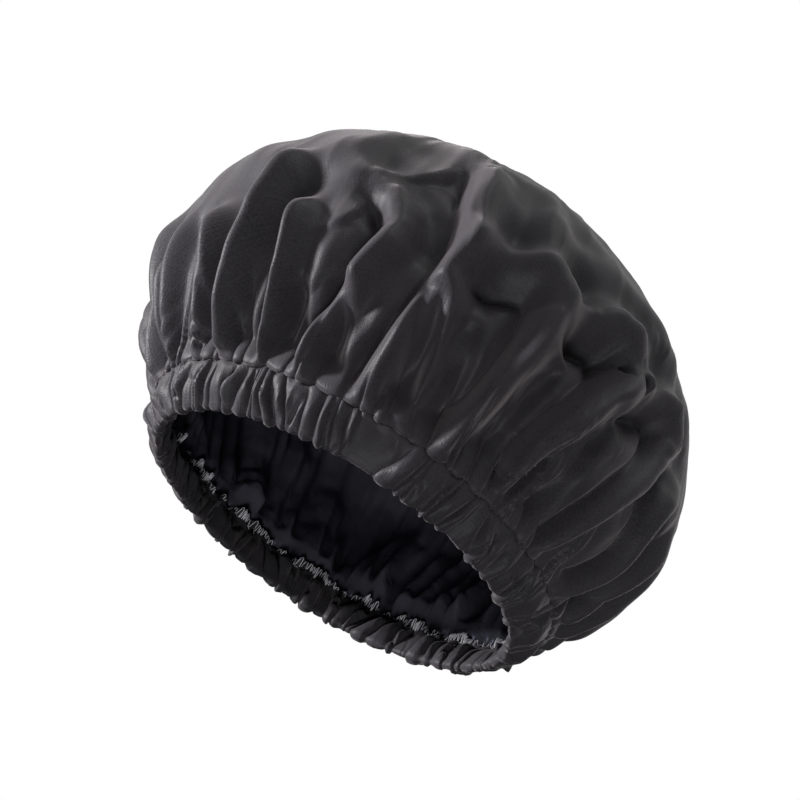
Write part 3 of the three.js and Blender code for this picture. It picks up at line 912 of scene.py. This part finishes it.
def black_cloth_material():
    """Black polyester pongee, plain woven of fine filament and pressed between rollers.

    The pressing gives it a soft broad sheen. Fine slubs, thicker stretches of single threads, run both
    ways and give a faint grain. The real threads are 0.2 mm apart and too fine to show, so the weave is
    drawn at 0.9 mm. The dye is a warm black, a little uneven from hand to hand.
    """
    thread_spacing = 0.9 * MM
    slub_width = 2 / 3 * MM
    slub_length = 50 / 3 * MM
    dye_patch = 40 * MM
    material, tree, shader = new_material("black_woven_polyester")
    flat = add_node(tree, "ShaderNodeUVMap", uv_map="UVMap").outputs["UV"]
    warp_scale = (1 / slub_width, 1 / slub_length, 1)
    weft_scale = (1 / slub_length, 1 / slub_width, 1)
    weave_scale = (1 / thread_spacing, 1 / thread_spacing, 1)
    warp_place = add_node(tree, "ShaderNodeMapping", {"Vector": flat, "Scale": warp_scale}).outputs[0]
    weft_place = add_node(tree, "ShaderNodeMapping", {"Vector": flat, "Scale": weft_scale}).outputs[0]
    weave_place = add_node(tree, "ShaderNodeMapping", {"Vector": flat, "Scale": weave_scale}).outputs[0]
    warp_noise = {"Vector": warp_place, "Scale": 1, "Detail": 2}
    weft_noise = {"Vector": weft_place, "Scale": 1, "Detail": 2}
    weave_noise = {"Vector": weave_place, "Scale": 1, "Detail": 3}
    dye_noise = {"Vector": flat, "Scale": 1 / dye_patch, "Detail": 3}
    warp = add_node(tree, "ShaderNodeTexNoise", warp_noise).outputs[0]
    weft = add_node(tree, "ShaderNodeTexNoise", weft_noise).outputs[0]
    weave = add_node(tree, "ShaderNodeTexNoise", weave_noise).outputs[0]
    dye = add_node(tree, "ShaderNodeTexNoise", dye_noise).outputs[0]
    slubs = add_node(tree, "ShaderNodeMath", {0: warp, 1: weft}, operation="ADD").outputs[0]
    raised = {0: weave, 1: 1.6, 2: slubs}
    relief = add_node(tree, "ShaderNodeMath", raised, operation="MULTIPLY_ADD").outputs[0]
    bump = add_node(tree, "ShaderNodeBump", {"Height": relief, "Strength": 0.5, "Distance": 0.2 * MM})
    grained = {0: weave, 1: 0.8, 2: -0.4}
    grain = add_node(tree, "ShaderNodeMath", grained, operation="MULTIPLY_ADD").outputs[0]
    streaked = {0: slubs, 1: 0.35, 2: grain}
    streaks = add_node(tree, "ShaderNodeMath", streaked, operation="MULTIPLY_ADD").outputs[0]
    dyed = {0: dye, 1: 0.4, 2: streaks}
    shade = add_node(tree, "ShaderNodeMath", dyed, operation="MULTIPLY_ADD").outputs[0]
    spread = add_node(tree, "ShaderNodeMapRange", {"Value": shade, "From Min": 0.2, "From Max": 0.6})
    blacks = {MIX_FACTOR: spread.outputs[0], MIX_LOW: linear("#1b1a1c"), MIX_HIGH: linear("#343236")}
    colour = add_node(tree, "ShaderNodeMix", blacks, data_type="RGBA")
    sheen = {"Value": warp, **NOISE_RANGE, "To Min": 0.43, "To Max": 0.51}
    rough = add_node(tree, "ShaderNodeMapRange", sheen)
    tree.links.new(colour.outputs[MIX_RESULT], shader.inputs["Base Color"])
    tree.links.new(rough.outputs[0], shader.inputs["Roughness"])
    tree.links.new(bump.outputs[0], shader.inputs["Normal"])
    shader.inputs["Specular IOR Level"].default_value = 0.11
    shader.inputs["Sheen Weight"].default_value = 0.2
    shader.inputs["Sheen Roughness"].default_value = 0.45
    shader.inputs["Sheen Tint"].default_value = linear("#e9dfe2")
    return material


def black_film_material():
    """Black PEVA film, cast on a finely matted roller.

    It is smoother than the cloth, with a slight cold gloss. Its colours are written a little lighter than the
    cloth's black, which is painted light standing in for light that the shaded mouth doesn't get, and it
    still looks darker only in the shade of the mouth. Its crinkles are 11 mm apart, and the matting is uneven
    over some 33 mm.
    """
    crinkle_size = 100 / 9 * MM
    haze_patch = 100 / 3 * MM
    material, tree, shader = new_material("black_peva_film")
    flat = add_node(tree, "ShaderNodeUVMap", uv_map="UVMap").outputs["UV"]
    crinkle_noise = {"Vector": flat, "Scale": 1 / crinkle_size, "Detail": 4}
    haze_noise = {"Vector": flat, "Scale": 1 / haze_patch, "Detail": 2}
    crinkle = add_node(tree, "ShaderNodeTexNoise", crinkle_noise).outputs[0]
    haze = add_node(tree, "ShaderNodeTexNoise", haze_noise).outputs[0]
    bump = add_node(tree, "ShaderNodeBump", {"Height": crinkle, "Strength": 0.5, "Distance": 1.2 * MM})
    spread = add_node(tree, "ShaderNodeMapRange", {"Value": haze, **NOISE_RANGE}).outputs[0]
    # These blacks are lighter than the film's real black: painted light for the shaded mouth.
    blacks = {MIX_FACTOR: spread, MIX_LOW: linear("#33333a"), MIX_HIGH: linear("#44444d")}
    colour = add_node(tree, "ShaderNodeMix", blacks, data_type="RGBA")
    gloss = {"Value": haze, **NOISE_RANGE, "To Min": 0.34, "To Max": 0.46}
    rough = add_node(tree, "ShaderNodeMapRange", gloss)
    tree.links.new(colour.outputs[MIX_RESULT], shader.inputs["Base Color"])
    tree.links.new(rough.outputs[0], shader.inputs["Roughness"])
    tree.links.new(bump.outputs[0], shader.inputs["Normal"])
    shader.inputs["Specular IOR Level"].default_value = 0.4
    shader.inputs["Specular Tint"].default_value = linear("#cdd2ff")
    return material


def black_elastic_material():
    """Black knitted elastic: rubber cords side by side under matt textured yarn, which shows as ribs.

    There is a cord every 1.2 mm. A wave texture at a scale of 0.32 has about one band to a unit.
    """
    cord_spacing = 1.2 * MM
    fuzz_size = 10 / 9 * MM
    material, tree, shader = new_material("black_knitted_elastic")
    flat = add_node(tree, "ShaderNodeUVMap", uv_map="UVMap").outputs["UV"]
    cord_scale = (1, 1 / cord_spacing, 1)
    cord_place = add_node(tree, "ShaderNodeMapping", {"Vector": flat, "Scale": cord_scale}).outputs[0]
    ribs = add_node(tree, "ShaderNodeTexWave", {"Vector": cord_place, "Scale": 0.32}, bands_direction="Y")
    fuzz_noise = {"Vector": flat, "Scale": 1 / fuzz_size, "Detail": 2}
    fuzz = add_node(tree, "ShaderNodeTexNoise", fuzz_noise).outputs[0]
    ribbed = {"Height": ribs.outputs["Fac"], "Strength": 0.6, "Distance": 0.3 * MM}
    bump = add_node(tree, "ShaderNodeBump", ribbed)
    spread = add_node(tree, "ShaderNodeMapRange", {"Value": fuzz, **NOISE_RANGE}).outputs[0]
    blacks = {MIX_FACTOR: spread, MIX_LOW: linear("#161618"), MIX_HIGH: linear("#242326")}
    colour = add_node(tree, "ShaderNodeMix", blacks, data_type="RGBA")
    tree.links.new(colour.outputs[MIX_RESULT], shader.inputs["Base Color"])
    tree.links.new(bump.outputs[0], shader.inputs["Normal"])
    shader.inputs["Roughness"].default_value = 0.8
    return material


def thread_material(name, low, high):
    """Spun polyester sewing thread, matt and slightly hairy, its shade uneven along its twist."""
    twist_width = 5 / 9 * MM
    twist_length = 5 / 3 * MM
    material, tree, shader = new_material(name)
    place = add_node(tree, "ShaderNodeTexCoord").outputs["Object"]
    twist_scale = (1 / twist_width, 1 / twist_width, 1 / twist_length)
    twist_place = add_node(tree, "ShaderNodeMapping", {"Vector": place, "Scale": twist_scale}).outputs[0]
    twist_noise = {"Vector": twist_place, "Scale": 1, "Detail": 2}
    twist = add_node(tree, "ShaderNodeTexNoise", twist_noise).outputs[0]
    bump = add_node(tree, "ShaderNodeBump", {"Height": twist, "Strength": 0.5, "Distance": 0.1 * MM})
    spread = add_node(tree, "ShaderNodeMapRange", {"Value": twist, **NOISE_RANGE}).outputs[0]
    shades = {MIX_FACTOR: spread, MIX_LOW: linear(low), MIX_HIGH: linear(high)}
    colour = add_node(tree, "ShaderNodeMix", shades, data_type="RGBA")
    tree.links.new(colour.outputs[MIX_RESULT], shader.inputs["Base Color"])
    tree.links.new(bump.outputs[0], shader.inputs["Normal"])
    shader.inputs["Roughness"].default_value = 0.65
    shader.inputs["Sheen Weight"].default_value = 0.2
    return material


# How far inwards the crown, the film and the casing's outer ply lie where their allowances meet the seam,
# and where the film's first row lies just above it.
CROWN_FOOT = 0.4 * MM
FILM_FOOT = 0.8 * MM
CASING_FOOT = 0.3 * MM
FILM_ROW_HEIGHT = 0.6 * MM
FILM_ROW_INWARDS = 0.7 * MM


def make_crown(points, material):
    """The crown, with its allowance inside the seam."""
    points = np.concatenate([allowance(CROWN_TURNS, SEAM_STACK - 2 * LAYER, CROWN_FOOT), leant(points)])
    crown = cloth_piece("crown", points, crown_flat_place, crown_column_step)
    crown.data.materials.append(material)
    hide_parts("crown_shell")


def make_film(points, material):
    """The film lining, cut with the crown and caught in the same seam."""
    points = leant(points)
    points[0] = allowance_place(CROWN_TURNS, FILM_ROW_HEIGHT, FILM_ROW_INWARDS)
    points = np.concatenate([allowance(CROWN_TURNS, SEAM_STACK - 3 * LAYER, FILM_FOOT), points])
    film = cloth_piece("film_lining", points, crown_flat_place, crown_column_step)
    film.data.materials.append(material)
    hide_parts("lining")


def make_casing(material):
    """The casing: one strip, from the cut edge of its outer ply round the rim to that of its inner ply."""
    turns = np.arange(CASING_COLUMNS) / CASING_COLUMNS * FULL_TURN
    outer_allowance = allowance(turns, SEAM_STACK - LAYER, CASING_FOOT)
    inner_allowance = allowance(turns, SEAM_STACK + LAYER, SEAM_STACK)[::-1]
    points = np.concatenate([outer_allowance, gathered_casing(turns), inner_allowance])
    casing = cloth_piece("elastic_casing", points, casing_flat_place, every_column)
    casing.data.materials.append(material)
    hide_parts("casing")


def make_elastic():
    """The elastic in the casing. Its pattern is laid out on the casing's strip."""
    elastic = cloth_piece("rim_elastic", elastic_points(), casing_flat_place, every_column)
    elastic.data.materials.append(black_elastic_material())
    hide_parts("elastic_band")


def make_threads():
    """The overlock's three pale threads, and the black thread of the stitches that the CAD holds."""
    pale = thread_material("pale_spun_polyester_thread", "#b4b2ba", "#eceaf0")
    thread_piece("overlock_needle_stitches", needle_paths(), pale, "overlock_needle_thread")
    inside_loops = looper_paths(INSIDE_FACE, FILM_FACE)
    thread_piece("overlock_inner_loops", inside_loops, pale, "overlock_upper_looper_thread")
    film_side_loops = looper_paths(FILM_FACE, INSIDE_FACE)
    thread_piece("overlock_film_side_loops", film_side_loops, pale, "overlock_lower_looper_thread")
    black = thread_material("black_spun_polyester_thread", "#131314", "#242427")
    for node in ("elastic_join_stitch", "casing_join_thread"):
        for slot in bpy.data.objects[node].material_slots:
            slot.material = black


# The photograph's frame, and the pixel that the middle of the rim falls on. The camera's angles are in
# degrees, its frame is FRAME_WIDTH metres wide at the distance of the cap, and its sensor is in mm.
PHOTO_SIDE = 800
RIM_PIXEL_X = 328.2
RIM_PIXEL_Y = 546.5
CAMERA_ELEVATION = -20.57
CAMERA_ROLL = 33.92
CAMERA_DISTANCE = 0.99
FRAME_WIDTH = 0.36
SENSOR_WIDTH = 36.0

# Each lamp: how far right of, above and in front of the cap's middle the camera sees it, in metres, then
# its side and its watts. The key is small and stands beside the cap, so that its light grazes the folds.
LAMPS = [
    ("key", (-1.05, 0.5, 0.1), 0.18, 34),
    ("top", (0.7, 1.05, 0.0), 0.3, 3),
    ("mouth_fill", (-0.3, -0.55, 1.05), 0.4, 7),
]
LAMP_AIM_HEIGHT = 0.09

# The light that comes from all round, and the strength at which the backdrop is white.
WORLD_LIGHT = 0.03
WHITE_LIGHT = 1.0
FLOOR_SIDE = 3.0


def camera_turn():
    """How the camera is turned: it looks along +Y and upwards, rolled so that +Z leans right."""
    rise = math.radians(-CAMERA_ELEVATION)
    forward = Vector((0, math.cos(rise), math.sin(rise)))
    right = Vector((1, 0, 0))
    up = right.cross(forward)
    facing = Matrix((right, up, -forward)).transposed()
    return facing @ Matrix.Rotation(math.radians(CAMERA_ROLL), 3, "Z"), forward


def make_camera():
    """The camera at the photograph's angle and distance, shifted to frame the cap the same way."""
    turned, forward = camera_turn()
    data = bpy.data.cameras.new("camera")
    data.sensor_width = SENSOR_WIDTH
    data.lens = SENSOR_WIDTH * CAMERA_DISTANCE / FRAME_WIDTH
    data.shift_x = (PHOTO_SIDE / 2 - RIM_PIXEL_X) / PHOTO_SIDE
    data.shift_y = (RIM_PIXEL_Y - PHOTO_SIDE / 2) / PHOTO_SIDE
    camera = bpy.data.objects.new("camera", data)
    camera.matrix_world = Matrix.Translation(-forward * CAMERA_DISTANCE) @ turned.to_4x4()
    bpy.context.collection.objects.link(camera)
    bpy.context.scene.camera = camera


def add_lamp(name, seen_at, side, watts):
    """A square soft lamp, placed as the camera sees it and aimed at the middle of the cap."""
    turned, _ = camera_turn()
    middle = Vector((0, 0, LAMP_AIM_HEIGHT))
    data = bpy.data.lights.new(name, "AREA")
    data.energy = watts
    data.size = side
    lamp = bpy.data.objects.new(name, data)
    place = middle + turned @ Vector(seen_at)
    aim = (middle - place).to_track_quat("-Z", "Y")
    lamp.matrix_world = Matrix.Translation(place) @ aim.to_matrix().to_4x4()
    bpy.context.collection.objects.link(lamp)


def pale_floor():
    """A plain pale floor under the rim, seen only from above, because the camera looks from below it.

    It casts no shadow, so that the lamp in front of the mouth, which is below it, reaches the cap.
    """
    bm = bmesh.new()
    bmesh.ops.create_grid(bm, x_segments=1, y_segments=1, size=FLOOR_SIDE / 2)
    mesh = bpy.data.meshes.new("floor")
    bm.to_mesh(mesh)
    bm.free()
    floor = bpy.data.objects.new("floor", mesh)
    bpy.context.collection.objects.link(floor)
    material, tree, shader = new_material("pale_studio_floor")
    shader.inputs["Base Color"].default_value = linear("#f4f3f2")
    shader.inputs["Roughness"].default_value = 0.8
    below = add_node(tree, "ShaderNodeNewGeometry").outputs["Backfacing"]
    clear = add_node(tree, "ShaderNodeBsdfTransparent").outputs[0]
    mix = add_node(tree, "ShaderNodeMixShader", {0: below, 1: shader.outputs[0], 2: clear})
    tree.links.new(mix.outputs[0], tree.nodes["Material Output"].inputs["Surface"])
    mesh.materials.append(material)
    floor.visible_shadow = False


def white_world():
    """A white backdrop for the camera and for reflections of it, and a plain low light for the rest."""
    world = bpy.data.worlds.new("studio")
    bpy.context.scene.world = world
    world.use_nodes = True
    tree = world.node_tree
    tree.nodes.clear()
    path = add_node(tree, "ShaderNodeLightPath").outputs
    straight = {0: path["Is Camera Ray"], 1: path["Is Glossy Ray"]}
    mirrored = add_node(tree, "ShaderNodeMath", straight, operation="MAXIMUM").outputs[0]
    through = {0: mirrored, 1: path["Is Transmission Ray"]}
    shown = add_node(tree, "ShaderNodeMath", through, operation="MAXIMUM").outputs[0]
    backdrop = {"Color": (1, 1, 1, 1), "Strength": WHITE_LIGHT}
    white = add_node(tree, "ShaderNodeBackground", backdrop).outputs[0]
    low_light = {"Color": (1, 1, 1, 1), "Strength": WORLD_LIGHT}
    light = add_node(tree, "ShaderNodeBackground", low_light).outputs[0]
    mix = add_node(tree, "ShaderNodeMixShader", {0: shown, 1: light, 2: white}).outputs[0]
    add_node(tree, "ShaderNodeOutputWorld", {"Surface": mix})


crown_points, film_points = gathered_crown()
black_cloth = black_cloth_material()
make_crown(crown_points, black_cloth)
make_film(film_points, black_film_material())
make_casing(black_cloth)
make_elastic()
make_threads()

make_camera()
for lamp in LAMPS:
    add_lamp(*lamp)
pale_floor()
white_world()
bpy.context.scene.view_settings.view_transform = "Standard"
